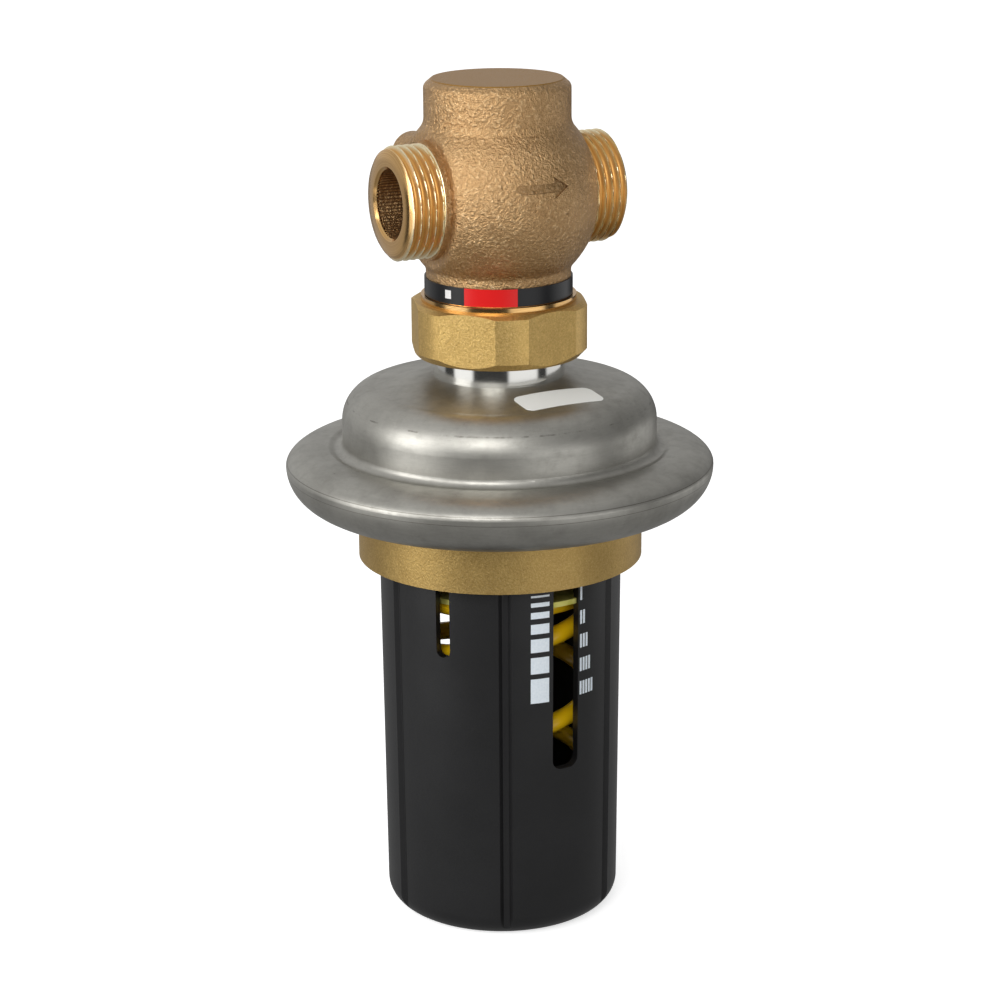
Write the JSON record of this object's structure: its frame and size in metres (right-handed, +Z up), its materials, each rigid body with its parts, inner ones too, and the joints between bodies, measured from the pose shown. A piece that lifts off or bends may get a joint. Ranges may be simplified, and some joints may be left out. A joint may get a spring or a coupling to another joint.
{
  "type": "differential pressure controller",
  "caption": "Self-acting differential pressure controller: threaded bronze valve body, union nut, round steel diaphragm casing and a ribbed setting handle with windows.",
  "frame": {"origin": "middle of the handle's flat base", "axes": "+Z up along the stem from the handle to the valve body; +X along the pipe, the way the water flows"},
  "size_m": [0.128, 0.128, 0.2553],
  "materials": {
    "bronze_cast": "sand-cast bronze, machined on the threads",
    "brass_turned": "turned",
    "brass_blasted": "blasted matt",
    "stainless": "turned",
    "casing_steel": "pressed, satin",
    "passivated": "yellow passivated",
    "rubber": "moulded",
    "bush_plastic": "slippery plastic",
    "band_plastic": "printed film, bare",
    "handle_plastic": "moulded, satin black",
    "spring_paint": "yellow enamel"
  },
  "bodies": {
    "valve_and_casing": {"valve_body": "bronze_cast", "seat_ring": "stainless", "valve_insert": "brass_turned", "insert_seal": "rubber", "piston_seal": "rubber", "guide_seal": "rubber", "union_gasket": "rubber", "union_nut": "brass_blasted", "actuator_neck": "stainless", "snap_ring": "stainless", "neck_seal": "rubber", "upper_casing": "casing_steel", "lower_casing": "brass_blasted", "diaphragm": "rubber", "setting_tube": "brass_turned", "stem_bush": "bush_plastic", "stem_seal": "rubber", "handle_retainer": "stainless", "label_band": "band_plastic"},
    "handle_grip": {"handle": "handle_plastic", "slip_washer": "bush_plastic"},
    "setting_screw": {"indicator_plate": "passivated", "setting_nut": "brass_turned"},
    "stem_train": {"actuator_stem": "stainless", "lower_diaphragm_plate": "stainless", "upper_diaphragm_plate": "stainless", "diaphragm_nut": "stainless", "stem_lock_nut": "stainless", "lower_spring_plate": "passivated", "setting_spring": "spring_paint", "valve_stem": "stainless", "valve_cone": "brass_turned", "cone_seal": "rubber", "cone_nut": "stainless"}
  },
  "joints": [
    {"name": "handle_turn", "type": "hinge", "parent": "valve_and_casing", "child": "handle_grip", "pos_m": [0, 0, 0.1155], "axis": [0, 0, 1], "range_deg": [0, 2160]},
    {"name": "setting_travel", "type": "slide", "parent": "handle_grip", "child": "setting_screw", "axis": [0, 0, 1], "range_m": [-0.03, 0], "deforming": ["setting_spring"]},
    {"name": "stem_lift", "type": "slide", "parent": "valve_and_casing", "child": "stem_train", "axis": [0, 0, 1], "range_m": [0, 0.005], "stiffness_N_per_m": 14000, "deforming": ["diaphragm"]}
  ],
  "couplings": [
    {"joint": "setting_travel", "follows": "handle_turn", "m_per_rad": -0.00079577}
  ]
}
